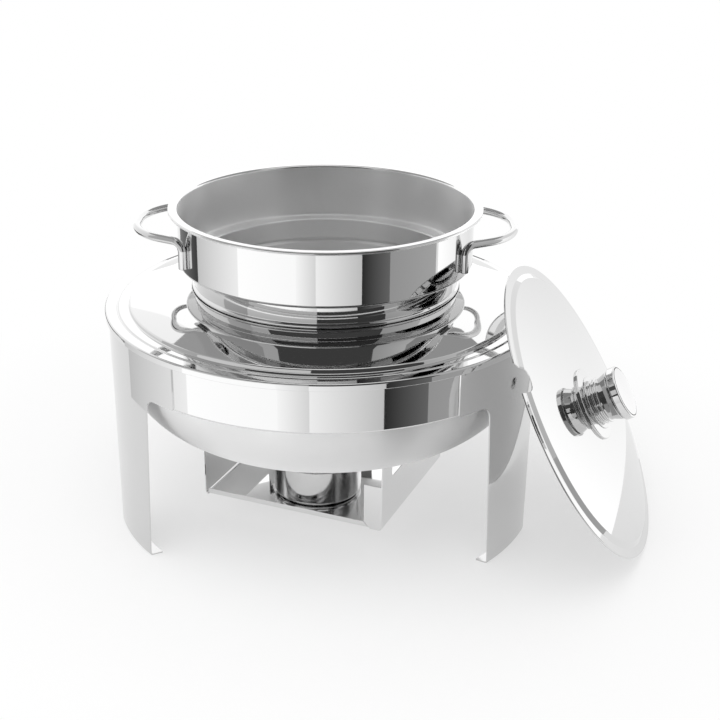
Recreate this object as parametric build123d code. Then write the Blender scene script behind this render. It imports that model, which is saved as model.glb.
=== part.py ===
from build123d import *
import os
from math import cos, radians, sin

# Round chafing dish on three legs: water pan, cover plate, food pan, leaning lid and sliding burner.
# Millimetres, +Z up, front towards -Y. The origin is on the stand's axis, level with the feet.

# Legs and band
LEG_RADIUS = 208.0
LEG_SHEET = 1.3
LEG_TURNS = {"left_leg": 207.0, "right_leg": 327.0, "rear_leg": 87.0}
LEG_HEIGHT = 206.2
LEG_HALF_ANGLE_FOOT = 10.5
LEG_HALF_ANGLE_TOP = 12.6
LEG_HEAD_HALF_ANGLE = 23.1
LEG_ARCH_RADIUS = 12.0
LEG_HEAD_CORNER = 2.5
LEG_TRIM_ANGLE = 1.0
FOOT_DEPTH = 12.0
FOOT_BEND = 1.4
BAND_RADIUS = LEG_RADIUS - LEG_SHEET
BAND_SHEET = 1.0
BAND_BOTTOM = 165.0
BAND_TOP = 210.9
BAND_HEM = 4.2
BAND_HEM_BEND = 1.0

# Water pan
WATER_SHEET = 1.0
WATER_RADIUS = 202.6
WATER_FLANGE_RADIUS = 207.9
WATER_FLANGE_BEND = 2.0
WATER_BOTTOM = 92.7
WATER_CORNER = 85.0

# Cover plate
COVER_SHEET = 0.8
COVER_RADIUS = 211.0
COVER_TOP = 213.0
COVER_LIP_BOTTOM = 206.6
COVER_LIP_BEND = 1.0
COVER_GROOVE_RADIUS = 199.2
COVER_GROOVE_HALF = 1.7
COVER_GROOVE_DEPTH = 1.7
COVER_GROOVE_BEND = 0.6
COVER_STEP_RADIUS = 188.0
COVER_STEP_RUN = 1.0
COVER_STEP_RISE = 3.5
COVER_STEP_BEND = 0.8
COVER_STEP_TOP_BEND = 1.4
COVER_CROWN_RADIUS = 148.0
COVER_CROWN_BEND = 111.0
COVER_HOLE_RADIUS = 126.9
COVER_HOLE_TOP = 229.2
COVER_COLLAR = 6.0
COVER_COLLAR_BEND = 1.7

# Food pan
PAN_SHEET = 0.8
PAN_RIM_RADIUS = 148.0
PAN_RIM_TOP = 306.4
PAN_RIM_LIP = 2.6
PAN_RIM_LIP_BEND = 0.6
PAN_RIM_BEND = 1.8
PAN_WALL_RADIUS = 139.8
PAN_SHOULDER = 252.3
PAN_SHOULDER_BEND = 2.6
PAN_NECK_RADIUS = 126.0
PAN_NECK_BEND = 1.2
PAN_BEAD_RADIUS = 129.0
PAN_BEAD_HALF = 2.8
PAN_BEAD_BEND = 1.6
PAN_BEAD_HEIGHT = 230.6
PAN_FLOOR = 128.0
PAN_FLOOR_RADIUS = 123.5
PAN_FLOOR_BEND = 16.0

# Pan handles
HANDLE_ROD = 3.75
HANDLE_TURN = -2.0
HANDLE_FOOT_ANGLE = 26.3
HANDLE_FOOT_FLAT = 0.35
HANDLE_FOOT_BOTTOM = 261.0
HANDLE_HEIGHT = 286.5
HANDLE_REACH = 177.5
HANDLE_CORNER_SIDE = 36.0
HANDLE_FOOT_BEND = 9.0
HANDLE_LOOP_BEND = 52.0

# Lid, in its own frame with the rim's top face at height 0
LID_RADIUS = 147.2
LID_SHEET = 0.8
LID_LIP = 1.6
LID_LIP_BEND = 0.6
LID_RIM_INSIDE = 138.0
LID_RIM_BEND = 1.4
LID_SHOULDER_RADIUS = 132.9
LID_SHOULDER_BEND = 1.6
LID_DOME_START = 129.0
LID_DOME_FOOT = 3.3
LID_DOME_TOP = 12.4
LID_NOTCH_TURN = 143.6
LID_NOTCH_END = 126.9
LID_NOTCH_END_HALF = 9.3
LID_NOTCH_MOUTH_HALF = 17.4
LID_NOTCH_MOUTH = 160.0
LID_NOTCH_CORNER = 9.0

# Where the lid leans: its face tilts up from the horizontal and turns towards the right
LID_TILT = 30.1
LID_TURN = -17.0
LID_REACH = 252.5
LID_REACH_TURN = -17.4
FLOOR_GAP = 0.2

# Knob, on the lid's axis
KNOB_FLANGE_RADIUS = 35.2
KNOB_FLANGE_EDGE = 1.6
KNOB_FLANGE_HEIGHT = 3.3
KNOB_FLANGE_EDGE_BEND = 1.2
KNOB_FLANGE_TOP_BEND = 1.0
KNOB_RING_RADIUS = 26.0
KNOB_RING_HEIGHT = 1.5
KNOB_RING_FOOT_BEND = 0.5
KNOB_RING_BEND = 0.9
KNOB_NECK_RADIUS = 20.5
KNOB_NECK_BEND = 0.4
KNOB_BEAD_RADIUS = 22.2
KNOB_BEAD_HEIGHT = 2.3
KNOB_BEAD_GAP = 1.7
KNOB_BEAD_COUNT = 2
KNOB_BEAD_BEND = 1.0
KNOB_BEAD_FOOT_BEND = 0.2
KNOB_FLARE_RADIUS = 24.0
KNOB_FLARE_HEIGHT = 9.6
KNOB_FLARE_BEND = 3.0
KNOB_FLARE_EDGE_BEND = 0.7
KNOB_GROOVE_RADIUS = 21.5
KNOB_GROOVE_HEIGHT = 1.4
KNOB_GROOVE_BEND = 0.3
KNOB_CAP_RADIUS = 25.6
KNOB_CAP_HEIGHT = 7.4
KNOB_CAP_CROWN = 2.8
KNOB_CAP_EDGE = 1.2
KNOB_WALL = 2.0
KNOB_BOSS_RADIUS = 6.0
KNOB_HOLLOW_RADIUS = 18.0
SCREW_RADIUS = 2.5
SCREW_CLEARANCE = 0.3
SCREW_REACH = 17.0
SCREW_HEAD_RADIUS = 4.6
SCREW_HEAD_HEIGHT = 3.0
SCREW_HEAD_BEND = 1.4
WASHER_RADIUS = 8.0
WASHER_SHEET = 1.0

# Burner tray, turned under the stand, with its rear edge open
TRAY_TURN = -23.8
TRAY_HALF_WIDTH = 94.3
TRAY_HALF_DEPTH = 83.0
TRAY_BOTTOM = 18.0
TRAY_SHEET = 1.0
TRAY_BEND = 2.2
TRAY_LIP = 6.5
TRAY_LIP_END = 3.7
TRAY_SILL = 46.0
TRAY_POST = 25.0
TRAY_WINDOW_CORNER = 5.0
TRAY_RETURN = 18.5
TRAY_LIP_GAP = 0.6
TRAY_HANGER = 16.0
STUD_RADIUS = 2.4
STUD_LENGTH = 11.5
STUD_INSET = 8.5
STUD_WASHER_RADIUS = 5.0
STUD_WASHER_SHEET = 1.0
NUT_ACROSS_FLATS = 8.0
NUT_HEIGHT = 4.0

# Burner, standing on the tray
BURNER_SIDE = 3.0
BURNER_DEPTH = -27.0
BURNER_LIFT = 0.3
CUP_RADIUS = 43.3
CUP_HEIGHT = 35.7
CUP_SHEET = 0.7
CUP_CORNER = 3.5
CUP_FOOT_RADIUS = 36.0
CUP_FOOT_RISE = 1.5
CUP_FOOT_BEND = 1.0
CUP_FLOOR_BEND = 1.2
BURNER_COVER_SHEET = 0.7
BURNER_COVER_RADIUS = 43.9
BURNER_COVER_STEP = 39.0
BURNER_COVER_RISE = 2.6
BURNER_COVER_BEND = 0.4
BURNER_COVER_STEP_BEND = 0.6
FLAME_RADIUS = 19.0
FLAME_COLLAR = 2.0
DAMPER_RADIUS = 23.0
DAMPER_SHEET = 0.8
DAMPER_GAP = 0.4
DAMPER_PIVOT = 32.0
DAMPER_EAR = 6.0
LEVER_WIDTH = 8.0
LEVER_RUN = 12.0
LEVER_RISE = 7.0
LEVER_BEND = 2.0
RIVET_RADIUS = 2.0
RIVET_HEAD_RADIUS = 4.0
RIVET_HEAD_HEIGHT = 1.4
RIVET_HEAD_BEND = 1.0
RIVET_CLEARANCE = 0.2


def other_face(points, sheet):
    """Corner points of a bent sheet's other face, to the right of the given one."""
    runs = [(Vector(*end) - Vector(*start)).normalized() for start, end in zip(points, points[1:])]
    sides = [Vector(run.Y, -run.X) for run in runs]
    shifts = [sides[0]]
    for before, after in zip(sides, sides[1:]):
        shifts.append((before + after) / (1 + before.dot(after)))
    shifts.append(sides[-1])
    moved = [Vector(*point) + shift * sheet for point, shift in zip(points, shifts)]
    return [(point.X, point.Y) for point in moved]


def face_radii(points, bends, sheet):
    """Bend radii on the given face and on the other one, from the radii inside the bends."""
    given = []
    other = []
    for (x0, y0), (x1, y1), (x2, y2), bend in zip(points, points[1:], points[2:], bends):
        turns_left = (x1 - x0) * (y2 - y1) > (y1 - y0) * (x2 - x1)
        given.append(bend if turns_left else bend + sheet)
        other.append(bend + sheet if turns_left else bend)
    return given, other


def section_of(points, bends, sheet, plane=Plane.XZ):
    """Section of a bent sheet: one face through the points, the metal on its right."""
    given, other = face_radii(points, bends, sheet)
    outline = points + other_face(points, sheet)[::-1]
    with BuildSketch(plane) as section:
        with BuildLine():
            FilletPolyline(*outline, radius=[0, *given, 0, 0, *other[::-1], 0], close=True)
        make_face()
    return section.sketch


def pressing(points, bends, sheet, turn=360.0):
    """A pressed sheet turned about the upright axis."""
    return revolve(section_of(points, bends, sheet), Axis.Z, revolution_arc=turn)


def turning(points, bends):
    """A solid turned about the upright axis from a closed section."""
    with BuildSketch(Plane.XZ) as section:
        with BuildLine():
            FilletPolyline(*points, radius=bends, close=True)
        make_face()
    return revolve(section.sketch, Axis.Z)


def disc(radius, bottom, top, hole=0.0):
    """A flat disc or ring between two heights."""
    height = top - bottom
    solid = Pos(0, 0, bottom + height / 2) * Cylinder(radius, height)
    if hole:
        solid -= Pos(0, 0, bottom + height / 2) * Cylinder(hole, height * 3)
    return solid


def make_band():
    """Upright band with its lower edge turned in."""
    face = [(BAND_RADIUS, BAND_TOP), (BAND_RADIUS, BAND_BOTTOM), (BAND_RADIUS - BAND_HEM, BAND_BOTTOM)]
    return pressing(face, [BAND_HEM_BEND], BAND_SHEET)


def make_leg(turn):
    """One sheet leg rolled to the stand's radius: wide head, arched shoulders and a turned-in foot."""
    face = [(LEG_RADIUS, LEG_HEIGHT), (LEG_RADIUS, 0), (LEG_RADIUS - FOOT_DEPTH, 0)]
    sweep_angle = 2 * (LEG_HEAD_HALF_ANGLE + LEG_TRIM_ANGLE)
    shell = Rot(0, 0, -sweep_angle / 2) * pressing(face, [FOOT_BEND], LEG_SHEET, sweep_angle)
    head = LEG_RADIUS * sin(radians(LEG_HEAD_HALF_ANGLE))
    top = LEG_RADIUS * sin(radians(LEG_HALF_ANGLE_TOP))
    foot = LEG_RADIUS * sin(radians(LEG_HALF_ANGLE_FOOT))
    half = [(foot, 0), (top, BAND_BOTTOM), (head, BAND_BOTTOM), (head, LEG_HEIGHT)]
    outline = half + [(-side, height) for side, height in reversed(half)]
    corners = [0, LEG_ARCH_RADIUS, LEG_HEAD_CORNER, 0, 0, LEG_HEAD_CORNER, LEG_ARCH_RADIUS, 0]
    with BuildSketch(Plane.YZ) as blank:
        with BuildLine():
            FilletPolyline(*outline, radius=corners, close=True)
        make_face()
    return Rot(0, 0, turn) * (shell & extrude(blank.sketch, LEG_RADIUS * 2))


def make_water_pan():
    """Deep pan with a round bottom corner and a flange on the band."""
    face = [
        (WATER_FLANGE_RADIUS, BAND_TOP),
        (WATER_RADIUS, BAND_TOP),
        (WATER_RADIUS, WATER_BOTTOM),
        (0, WATER_BOTTOM),
    ]
    return pressing(face, [WATER_FLANGE_BEND, WATER_CORNER], WATER_SHEET)


def make_cover_plate():
    """Pressed ring: lip, locating groove, step, crown and a collar round the hole."""
    inside = COVER_SHEET
    low_top = COVER_TOP - inside
    crown_top = COVER_HOLE_TOP - inside
    face = [
        (COVER_HOLE_RADIUS + inside, COVER_HOLE_TOP - COVER_COLLAR),
        (COVER_HOLE_RADIUS + inside, crown_top),
        (COVER_CROWN_RADIUS, crown_top),
        (COVER_STEP_RADIUS - COVER_STEP_RUN, low_top + COVER_STEP_RISE),
        (COVER_STEP_RADIUS, low_top),
        (COVER_GROOVE_RADIUS - COVER_GROOVE_HALF, low_top),
        (COVER_GROOVE_RADIUS, low_top - COVER_GROOVE_DEPTH),
        (COVER_GROOVE_RADIUS + COVER_GROOVE_HALF, low_top),
        (COVER_RADIUS - inside, low_top),
        (COVER_RADIUS - inside, COVER_LIP_BOTTOM),
    ]
    inner_bends = [COVER_COLLAR_BEND, COVER_CROWN_BEND, COVER_STEP_TOP_BEND, COVER_STEP_BEND]
    bends = inner_bends + [COVER_GROOVE_BEND] * 3 + [COVER_LIP_BEND]
    return pressing(face[::-1], bends[::-1], COVER_SHEET)


def make_food_pan():
    """Pan with a turned-down rim, a shouldered wall, a neck with a bead and a narrower lower part."""
    under_rim = PAN_RIM_TOP - PAN_SHEET
    lip_inside = PAN_RIM_RADIUS - PAN_SHEET
    face = [
        (lip_inside, PAN_RIM_TOP - PAN_RIM_LIP),
        (lip_inside, under_rim),
        (PAN_WALL_RADIUS, under_rim),
        (PAN_WALL_RADIUS, PAN_SHOULDER),
        (PAN_NECK_RADIUS, PAN_SHOULDER),
        (PAN_NECK_RADIUS, PAN_BEAD_HEIGHT + PAN_BEAD_HALF),
        (PAN_BEAD_RADIUS, PAN_BEAD_HEIGHT),
        (PAN_NECK_RADIUS, PAN_BEAD_HEIGHT - PAN_BEAD_HALF),
        (PAN_FLOOR_RADIUS, PAN_FLOOR),
        (0, PAN_FLOOR),
    ]
    upper_bends = [PAN_RIM_LIP_BEND, PAN_RIM_BEND, PAN_SHOULDER_BEND, PAN_NECK_BEND]
    bead_bends = [PAN_NECK_BEND, PAN_BEAD_BEND, PAN_NECK_BEND]
    return pressing(face, upper_bends + bead_bends + [PAN_FLOOR_BEND], PAN_SHEET)


def make_handle(turn):
    """Bent rod: two upright feet, flattened where they are welded to the pan, and a level loop."""
    foot_radius = PAN_WALL_RADIUS + HANDLE_ROD - HANDLE_FOOT_FLAT
    foot_x = foot_radius * cos(radians(HANDLE_FOOT_ANGLE))
    foot_y = foot_radius * sin(radians(HANDLE_FOOT_ANGLE))
    route = [
        (foot_x, -foot_y, HANDLE_FOOT_BOTTOM),
        (foot_x, -foot_y, HANDLE_HEIGHT),
        (HANDLE_REACH, -HANDLE_CORNER_SIDE, HANDLE_HEIGHT),
        (HANDLE_REACH, HANDLE_CORNER_SIDE, HANDLE_HEIGHT),
        (foot_x, foot_y, HANDLE_HEIGHT),
        (foot_x, foot_y, HANDLE_FOOT_BOTTOM),
    ]
    bends = [HANDLE_FOOT_BEND, HANDLE_LOOP_BEND, HANDLE_LOOP_BEND, HANDLE_FOOT_BEND]
    path = FilletPolyline(*route, radius=bends)
    rod = sweep(Plane(origin=path @ 0, z_dir=path % 0) * Circle(HANDLE_ROD), path)
    rod -= disc(PAN_WALL_RADIUS, PAN_SHOULDER, PAN_RIM_TOP)
    return Rot(0, 0, turn) * rod


def lid_section():
    """Section of the lid: turned-down lip, flat rim, and a shoulder that runs into a spherical dome."""
    under_rim = -LID_SHEET
    lip_inside = LID_RADIUS - LID_SHEET
    under_dome = LID_DOME_FOOT - LID_SHEET
    dome_slope = LID_DOME_START / (dome_radius() ** 2 - LID_DOME_START**2) ** 0.5
    under_shoulder = under_dome - (LID_SHOULDER_RADIUS - LID_DOME_START) * dome_slope
    under = [
        (lip_inside, -LID_LIP),
        (lip_inside, under_rim),
        (LID_RIM_INSIDE, under_rim),
        (LID_SHOULDER_RADIUS, under_shoulder),
        (LID_DOME_START, under_dome),
    ]
    bends = [LID_LIP_BEND, LID_RIM_BEND, LID_SHOULDER_BEND]
    under_bends, over_bends = face_radii(under, bends, LID_SHEET)
    with BuildSketch(Plane.XZ) as section:
        with BuildLine():
            lower = FilletPolyline(*under, radius=under_bends)
            upper = FilletPolyline(*other_face(under, LID_SHEET), radius=over_bends)
            half_way = LID_DOME_START / 2
            inner = ThreePointArc(lower @ 1, dome_point(half_way), dome_point(0))
            outer = ThreePointArc(upper @ 1, dome_point(half_way, LID_SHEET), dome_point(0, LID_SHEET))
            Line(inner @ 1, outer @ 1)
            Line(lower @ 0, upper @ 0)
        make_face()
    return section.sketch


def dome_radius():
    """Radius of the dome's faces."""
    rise = LID_DOME_TOP - LID_DOME_FOOT
    return (LID_DOME_START**2 + rise**2) / (2 * rise)


def dome_point(radius, rise=0.0):
    """Point at a distance from the lid's axis, on the dome's under face or that far over it."""
    ball = dome_radius()
    return (radius, LID_DOME_TOP - LID_SHEET + rise - ball + (ball**2 - radius**2) ** 0.5)


def make_lid_shell():
    """Pressed lid with a screw hole and a utensil notch in its rim."""
    shell = revolve(lid_section(), Axis.Z)
    notch_points = [
        (LID_NOTCH_MOUTH, -LID_NOTCH_MOUTH_HALF),
        (LID_NOTCH_MOUTH, LID_NOTCH_MOUTH_HALF),
        (LID_NOTCH_END, LID_NOTCH_END_HALF),
        (LID_NOTCH_END, -LID_NOTCH_END_HALF),
    ]
    with BuildSketch() as notch:
        with BuildLine():
            FilletPolyline(*notch_points, radius=[0, 0, LID_NOTCH_CORNER, LID_NOTCH_CORNER], close=True)
        make_face()
    shell -= Rot(0, 0, LID_NOTCH_TURN) * extrude(notch.sketch, LID_DOME_TOP * 2, both=True)
    return shell - disc(SCREW_RADIUS + SCREW_CLEARANCE, 0, LID_DOME_TOP * 2)


def make_knob_flange():
    """Low hollow cone under the knob, cut to sit on the dome by its edge and its boss."""
    top = LID_DOME_TOP + KNOB_FLANGE_HEIGHT
    hole = SCREW_RADIUS + SCREW_CLEARANCE
    section = [
        (hole, 0),
        (KNOB_FLANGE_RADIUS, 0),
        (KNOB_FLANGE_RADIUS, LID_DOME_TOP + KNOB_FLANGE_EDGE),
        (KNOB_RING_RADIUS, top),
        (hole, top),
    ]
    ball = dome_radius()
    bends = [0, 0, KNOB_FLANGE_EDGE_BEND, KNOB_FLANGE_TOP_BEND, 0]
    cone = turning(section, bends) - Pos(0, 0, LID_DOME_TOP - ball) * Sphere(ball)
    return cone - disc(KNOB_RING_RADIUS, 0, top - KNOB_WALL, KNOB_BOSS_RADIUS)


def knob_neck_heights():
    """Heights where the neck starts, where its flare starts and where the cap starts."""
    bottom = LID_DOME_TOP + KNOB_FLANGE_HEIGHT
    beads = KNOB_BEAD_COUNT * (KNOB_BEAD_HEIGHT + KNOB_BEAD_GAP) + KNOB_BEAD_GAP
    flare = bottom + KNOB_RING_HEIGHT + beads
    return bottom, flare, flare + KNOB_FLARE_HEIGHT + KNOB_GROOVE_HEIGHT


def make_knob_neck():
    """Hollow turned neck: base ring, beads, a flare up to the cap and a boss with the screw's hole."""
    bottom, flare, cap = knob_neck_heights()
    section = [
        (0, bottom),
        (KNOB_RING_RADIUS, bottom),
        (KNOB_RING_RADIUS, bottom + KNOB_RING_HEIGHT),
        (KNOB_NECK_RADIUS, bottom + KNOB_RING_HEIGHT),
    ]
    bends = [0, KNOB_RING_FOOT_BEND, KNOB_RING_BEND, KNOB_NECK_BEND]
    for bead in range(KNOB_BEAD_COUNT):
        low = bottom + KNOB_RING_HEIGHT + KNOB_BEAD_GAP + bead * (KNOB_BEAD_HEIGHT + KNOB_BEAD_GAP)
        section += [
            (KNOB_NECK_RADIUS, low),
            (KNOB_BEAD_RADIUS, low),
            (KNOB_BEAD_RADIUS, low + KNOB_BEAD_HEIGHT),
            (KNOB_NECK_RADIUS, low + KNOB_BEAD_HEIGHT),
        ]
        bends += [KNOB_BEAD_FOOT_BEND, KNOB_BEAD_BEND, KNOB_BEAD_BEND, KNOB_BEAD_FOOT_BEND]
    section += [
        (KNOB_NECK_RADIUS, flare),
        (KNOB_FLARE_RADIUS, flare + KNOB_FLARE_HEIGHT),
        (KNOB_GROOVE_RADIUS, flare + KNOB_FLARE_HEIGHT),
        (KNOB_GROOVE_RADIUS, cap),
        (0, cap),
    ]
    bends += [KNOB_FLARE_BEND, KNOB_FLARE_EDGE_BEND, KNOB_GROOVE_BEND, 0, 0]
    hollow = disc(KNOB_HOLLOW_RADIUS, bottom + KNOB_WALL, cap, KNOB_BOSS_RADIUS)
    hole_top = LID_DOME_TOP - LID_SHEET + SCREW_REACH
    return turning(section, bends) - hollow - disc(SCREW_RADIUS, bottom - KNOB_WALL, hole_top)


def make_knob_cap():
    """Hollow cap with a rounded edge and a crowned face."""
    _, _, bottom = knob_neck_heights()
    top = bottom + KNOB_CAP_HEIGHT
    with BuildSketch(Plane.XZ) as section:
        with BuildLine():
            side = FilletPolyline(
                (0, bottom),
                (KNOB_CAP_RADIUS, bottom),
                (KNOB_CAP_RADIUS, top),
                (KNOB_CAP_RADIUS - 2 * KNOB_CAP_EDGE, top + KNOB_CAP_EDGE / 2),
                radius=[KNOB_CAP_EDGE, KNOB_CAP_EDGE],
            )
            crown = RadiusArc(side @ 1, (0, top + KNOB_CAP_CROWN), -cap_crown_radius())
            Line(crown @ 1, (0, bottom))
        make_face()
    return revolve(section.sketch, Axis.Z) - disc(KNOB_HOLLOW_RADIUS, bottom, top - KNOB_WALL)


def cap_crown_radius():
    """Radius of the cap's crowned face."""
    run = KNOB_CAP_RADIUS - 2 * KNOB_CAP_EDGE
    rise = KNOB_CAP_CROWN - KNOB_CAP_EDGE / 2
    return (run**2 + rise**2) / (2 * rise)


def make_knob_washer():
    """Washer under the lid."""
    top = dome_point(WASHER_RADIUS)[1]
    return disc(WASHER_RADIUS, top - WASHER_SHEET, top, SCREW_RADIUS + SCREW_CLEARANCE)


def make_knob_screw():
    """Pan-head screw up through the lid into the neck."""
    head_top = dome_point(WASHER_RADIUS)[1] - WASHER_SHEET
    head = turning(
        [
            (0, head_top),
            (SCREW_HEAD_RADIUS, head_top),
            (SCREW_HEAD_RADIUS, head_top - SCREW_HEAD_HEIGHT),
            (0, head_top - SCREW_HEAD_HEIGHT),
        ],
        [0, 0, SCREW_HEAD_BEND, 0],
    )
    return head + disc(SCREW_RADIUS, head_top, LID_DOME_TOP - LID_SHEET + SCREW_REACH)


def lid_place():
    """Where the lid leans: its edge just over the floor, its dome just off the cover plate's rim."""
    tilt = radians(LID_TILT)
    turn = radians(LID_TURN)
    reach_turn = radians(LID_REACH_TURN)
    height = LID_RADIUS * cos(tilt) + LID_LIP * sin(tilt) + FLOOR_GAP
    centre = (LID_REACH * cos(reach_turn), LID_REACH * sin(reach_turn), height)
    outward = (cos(tilt) * cos(turn), cos(tilt) * sin(turn), sin(tilt))
    return Plane(origin=centre, x_dir=(-sin(turn), cos(turn), 0), z_dir=outward).location


def stud_places():
    """Where the tray's hangers are bolted to the water pan, in the tray's own frame."""
    side = TRAY_HALF_WIDTH - STUD_INSET
    depth = TRAY_HALF_DEPTH - TRAY_POST / 2
    return [(x * side, y * depth) for x in (-1, 1) for y in (-1, 1)]


def make_tray():
    """Folded sheet cradle: hangers, walls with windows, a front lip and narrow front returns."""
    half = TRAY_HALF_WIDTH
    hanger = half - TRAY_HANGER
    face = [
        (hanger, WATER_BOTTOM),
        (half, WATER_BOTTOM),
        (half, TRAY_BOTTOM),
        (-half, TRAY_BOTTOM),
        (-half, WATER_BOTTOM),
        (-hanger, WATER_BOTTOM),
    ]
    bends = [TRAY_BEND] * (len(face) - 2)
    folded = extrude(section_of(face, bends, TRAY_SHEET), TRAY_HALF_DEPTH, both=True)
    window_half = TRAY_HALF_DEPTH - TRAY_POST
    sill = TRAY_BOTTOM + TRAY_SILL
    window_points = [
        (-window_half, WATER_BOTTOM + TRAY_SHEET),
        (-window_half, sill),
        (window_half, sill),
        (window_half, WATER_BOTTOM + TRAY_SHEET),
    ]
    with BuildSketch(Plane.YZ) as window:
        with BuildLine():
            corners = [0, TRAY_WINDOW_CORNER, TRAY_WINDOW_CORNER, 0]
            FilletPolyline(*window_points, radius=corners, close=True)
        make_face()
    folded -= extrude(window.sketch, half * 2, both=True)
    lip, strip = front_lip()
    folded = folded - strip + lip + front_return()
    hole = disc(STUD_RADIUS + SCREW_CLEARANCE, WATER_BOTTOM - STUD_LENGTH, WATER_BOTTOM)
    for x, y in stud_places():
        folded -= Pos(x, y, 0) * hole
    return folded


def front_lip():
    """Mitred lip bent up along the tray's front edge, and the floor strip that makes room for it."""
    front = -TRAY_HALF_DEPTH
    back = front + 3 * TRAY_BEND
    left = TRAY_LIP_END - TRAY_HALF_WIDTH
    right = TRAY_HALF_WIDTH - TRAY_RETURN + TRAY_LIP - TRAY_LIP_GAP
    lip_top = TRAY_BOTTOM + TRAY_LIP
    face = [(back, TRAY_BOTTOM), (front, TRAY_BOTTOM), (front, lip_top)]
    bent = extrude(section_of(face, [TRAY_BEND], TRAY_SHEET, Plane.YZ), right - left)
    lip = Pos(left, 0, 0) * bent
    corner = Polyline((right, TRAY_BOTTOM), (right, lip_top), (right - TRAY_LIP, lip_top), close=True)
    mitre = extrude(Plane.XZ * make_face(corner), TRAY_HALF_DEPTH * 2, both=True)
    strip_box = Box(right - left + TRAY_LIP_GAP, back - front, 4 * TRAY_SHEET)
    return lip - mitre, Pos((left + right) / 2, (front + back) / 2, TRAY_BOTTOM) * strip_box


def front_return():
    """Return along the right wall's front edge, up to the window's sill, with its foot mitred for the lip."""
    outer = TRAY_HALF_WIDTH
    inner = outer - TRAY_RETURN
    high = TRAY_BOTTOM + TRAY_SILL
    points = [
        (outer, high),
        (outer, TRAY_BOTTOM),
        (inner + TRAY_LIP, TRAY_BOTTOM),
        (inner, TRAY_BOTTOM + TRAY_LIP),
        (inner, high),
    ]
    with BuildSketch(Plane.XZ) as panel:
        with BuildLine():
            FilletPolyline(*points, radius=[0, TRAY_BEND + TRAY_SHEET, 0, 0, 0], close=True)
        make_face()
    return Pos(0, TRAY_SHEET - TRAY_HALF_DEPTH, 0) * extrude(panel.sketch, TRAY_SHEET)


def stud_heights():
    """Heights of the hanger's under face, the washers' under faces and the nuts' under faces."""
    hanger = WATER_BOTTOM - TRAY_SHEET
    washer = hanger - STUD_WASHER_SHEET
    return hanger, washer, washer - NUT_HEIGHT


def make_studs():
    """Four studs welded under the water pan."""
    stud = disc(STUD_RADIUS, WATER_BOTTOM - STUD_LENGTH, WATER_BOTTOM)
    return [Pos(x, y, 0) * stud for x, y in stud_places()]


def make_stud_washers():
    """Four washers under the hangers."""
    hanger, washer, _ = stud_heights()
    ring = disc(STUD_WASHER_RADIUS, washer, hanger, STUD_RADIUS + SCREW_CLEARANCE)
    return [Pos(x, y, 0) * ring for x, y in stud_places()]


def make_nuts():
    """Four hexagon nuts on the studs."""
    _, washer, nut = stud_heights()
    blank = RegularPolygon(NUT_ACROSS_FLATS / 2, 6, major_radius=False) - Circle(STUD_RADIUS)
    hexagon = Pos(0, 0, nut) * extrude(blank, washer - nut)
    return [Pos(x, y, 0) * hexagon for x, y in stud_places()]


def cup_top():
    """Height of the fuel cup's rim."""
    return TRAY_BOTTOM + TRAY_SHEET + BURNER_LIFT + CUP_HEIGHT


def make_burner_cup():
    """Fuel cup with a rounded foot and a raised floor."""
    foot = cup_top() - CUP_HEIGHT
    face = [
        (CUP_RADIUS, cup_top()),
        (CUP_RADIUS, foot),
        (CUP_FOOT_RADIUS, foot),
        (CUP_FOOT_RADIUS - CUP_FOOT_RISE, foot + CUP_FOOT_RISE),
        (0, foot + CUP_FOOT_RISE),
    ]
    return pressing(face, [CUP_CORNER, CUP_FOOT_BEND, CUP_FLOOR_BEND], CUP_SHEET)


def burner_cover_top():
    """Height of the burner cover's flat top."""
    return cup_top() + BURNER_COVER_SHEET + BURNER_COVER_RISE


def make_burner_cover():
    """Cover resting on the cup's rim, stepped up to a flat top with a flame opening."""
    under = burner_cover_top() - BURNER_COVER_SHEET
    face = [
        (BURNER_COVER_RADIUS, cup_top()),
        (BURNER_COVER_STEP, cup_top()),
        (BURNER_COVER_STEP, under),
        (FLAME_RADIUS, under),
        (FLAME_RADIUS, under - FLAME_COLLAR),
    ]
    bends = [BURNER_COVER_BEND, BURNER_COVER_STEP_BEND, BURNER_COVER_BEND]
    hole = disc(RIVET_RADIUS, under, burner_cover_top())
    return pressing(face, bends, BURNER_COVER_SHEET) - Pos(0, DAMPER_PIVOT, 0) * hole


def make_damper():
    """Damper disc with a pivot ear at the rear and a bent-up lever at the front."""
    low = burner_cover_top() + DAMPER_GAP
    ear = Pos(0, DAMPER_PIVOT) * Circle(DAMPER_EAR)
    arm = Pos(0, DAMPER_PIVOT / 2) * Rectangle(2 * DAMPER_EAR, DAMPER_PIVOT)
    hole = Pos(0, DAMPER_PIVOT) * Circle(RIVET_RADIUS + RIVET_CLEARANCE)
    blank = Circle(DAMPER_RADIUS) + ear + arm - hole
    front = -DAMPER_RADIUS
    face = [(front + LEVER_BEND, low), (front - LEVER_RUN, low), (front - LEVER_RUN, low + LEVER_RISE)]
    lever = extrude(section_of(face, [LEVER_BEND], DAMPER_SHEET, Plane.YZ), LEVER_WIDTH / 2, both=True)
    return Pos(0, 0, low) * extrude(blank, DAMPER_SHEET) + lever


def make_rivet():
    """Damper's pivot: a shank through the cover and a head over the damper."""
    shank_bottom = burner_cover_top() - BURNER_COVER_SHEET
    head_bottom = burner_cover_top() + DAMPER_SHEET + 2 * DAMPER_GAP
    head = disc(RIVET_HEAD_RADIUS, head_bottom, head_bottom + RIVET_HEAD_HEIGHT)
    head = fillet(head.edges().filter_by(GeomType.CIRCLE).sort_by(Axis.Z)[-1], RIVET_HEAD_BEND)
    return Pos(0, DAMPER_PIVOT, 0) * (disc(RIVET_RADIUS, shank_bottom, head_bottom) + head)


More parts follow.
